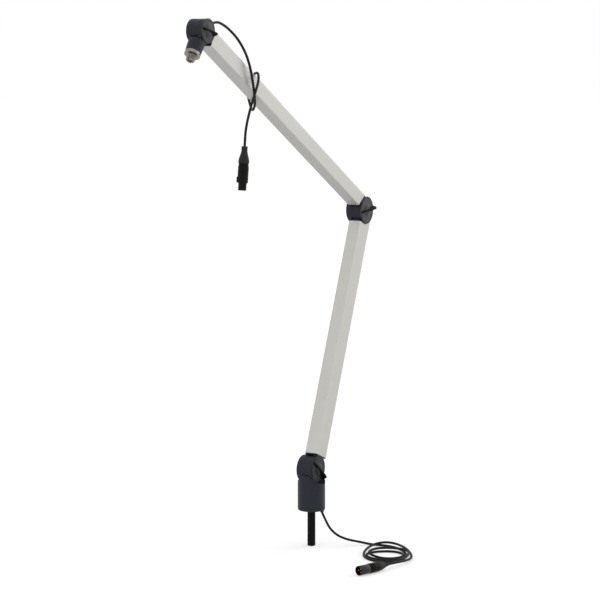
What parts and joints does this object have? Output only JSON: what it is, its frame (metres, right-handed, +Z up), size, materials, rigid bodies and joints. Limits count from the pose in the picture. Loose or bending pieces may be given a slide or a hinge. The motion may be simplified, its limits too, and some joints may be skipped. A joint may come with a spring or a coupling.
{
  "type": "microphone boom arm",
  "caption": "Two-section microphone boom arm of aluminium box profile on a swivelling base pin, with clamp-knob joints, threaded head and balanced audio cables.",
  "frame": {"origin": "on the base pin's axis, at the bottom face of the base, where the pin leaves it", "axes": "+Z up along the base pin; the hinges run along Y with their knobs on the -Y side; the microphone end points to -X"},
  "size_m": [0.6996, 0.255, 1.0368],
  "materials": {
    "aluminium": "fine-blasted and clear anodised",
    "black_body": "moulded, fine spark texture",
    "black_knob": "moulded, satin",
    "black_steel": "black oxide",
    "steel": "zinc plated",
    "nickel": "nickel plated, satin",
    "bronze": "sintered bronze",
    "nylon": "black filled nylon",
    "gold_contact": "gold plated",
    "connector_shell": "black chrome, satin",
    "connector_insert": "moulded",
    "boot_rubber": "matt",
    "cable_jacket": "matt"
  },
  "bodies": {
    "pin": {"spigot_pin": "black_steel"},
    "base": {"swivel_bush": "bronze", "thrust_washer": "steel", "drag_washer": "nylon", "base_housing": "black_body", "base_cap": "black_body", "base_cap_screws": "steel", "base_cable_gland": "boot_rubber", "base_cable": "cable_jacket", "base_coil": "cable_jacket", "male_shell": "connector_shell", "male_insert": "connector_insert", "male_pins": "gold_contact", "male_ring": "connector_shell", "male_boot": "boot_rubber", "base_pivot_bolt": "steel", "base_disc_spring": "steel"},
    "lower_arm": {"lower_profile": "aluminium", "lower_base_knuckle": "black_body", "lower_elbow_knuckle": "black_body", "lower_screws": "steel", "lower_inner_cable": "cable_jacket", "base_friction_washers": "nylon", "base_far_cap": "black_body", "elbow_pivot_bolt": "steel", "elbow_disc_spring": "steel"},
    "upper_arm": {"upper_profile": "aluminium", "upper_elbow_knuckle": "black_body", "upper_head_knuckle": "black_body", "upper_screws": "steel", "upper_inner_cable": "cable_jacket", "head_cable_gland": "boot_rubber", "head_cable": "cable_jacket", "female_shell": "connector_shell", "female_insert": "connector_insert", "female_contacts": "gold_contact", "female_ring": "connector_shell", "female_boot": "boot_rubber", "elbow_friction_washers": "nylon", "elbow_far_cap": "black_body", "head_pivot_bolt": "steel", "head_disc_spring": "steel"},
    "head": {"head_yoke": "black_body", "mic_sleeve": "black_body", "thread_collar": "nickel", "collar_screws": "steel", "mic_stud": "steel", "thread_adapter": "nickel", "head_friction_washers": "nylon", "head_far_cap": "black_body"},
    "base_knob": {"base_clamp_knob": "black_knob", "base_knob_nut": "steel"},
    "elbow_knob": {"elbow_clamp_knob": "black_knob", "elbow_knob_nut": "steel"},
    "head_knob": {"head_clamp_knob": "black_knob", "head_knob_nut": "steel"},
    "latch": {"female_latch": "connector_shell"}
  },
  "joints": [
    {"name": "base_swivel", "type": "hinge", "parent": "pin", "child": "base", "pos_m": [0, 0, 0], "axis": [0, 0, 1], "range_deg": [-170, 170]},
    {"name": "base_tilt", "type": "hinge", "parent": "base", "child": "lower_arm", "pos_m": [0, 0, 0.0823], "axis": [0, 1, 0], "range_deg": [-93, 52]},
    {"name": "elbow", "type": "hinge", "parent": "lower_arm", "child": "upper_arm", "pos_m": [0.21447, 0, 0.58561], "axis": [0, -1, 0], "range_deg": [-83, 55]},
    {"name": "head_tilt", "type": "hinge", "parent": "upper_arm", "child": "head", "pos_m": [-0.41379, 0, 0.94096], "axis": [0, 1, 0], "range_deg": [-18, 115]},
    {"name": "base_knob_turn", "type": "hinge", "parent": "base", "child": "base_knob", "pos_m": [0, 0, 0.0823], "axis": [0, -1, 0], "range_deg": [0, 60]},
    {"name": "elbow_knob_turn", "type": "hinge", "parent": "lower_arm", "child": "elbow_knob", "pos_m": [0.21447, 0, 0.58561], "axis": [0, -1, 0], "range_deg": [0, 180]},
    {"name": "head_knob_turn", "type": "hinge", "parent": "upper_arm", "child": "head_knob", "pos_m": [-0.41379, 0, 0.94096], "axis": [0, -1, 0], "range_deg": [0, 180]},
    {"name": "latch_press", "type": "slide", "parent": "upper_arm", "child": "latch", "axis": [0.4712, -0.8798, -0.0621], "range_m": [0, 0.0012], "stiffness_N_per_m": 800, "springref_m": -0.0004}
  ]
}
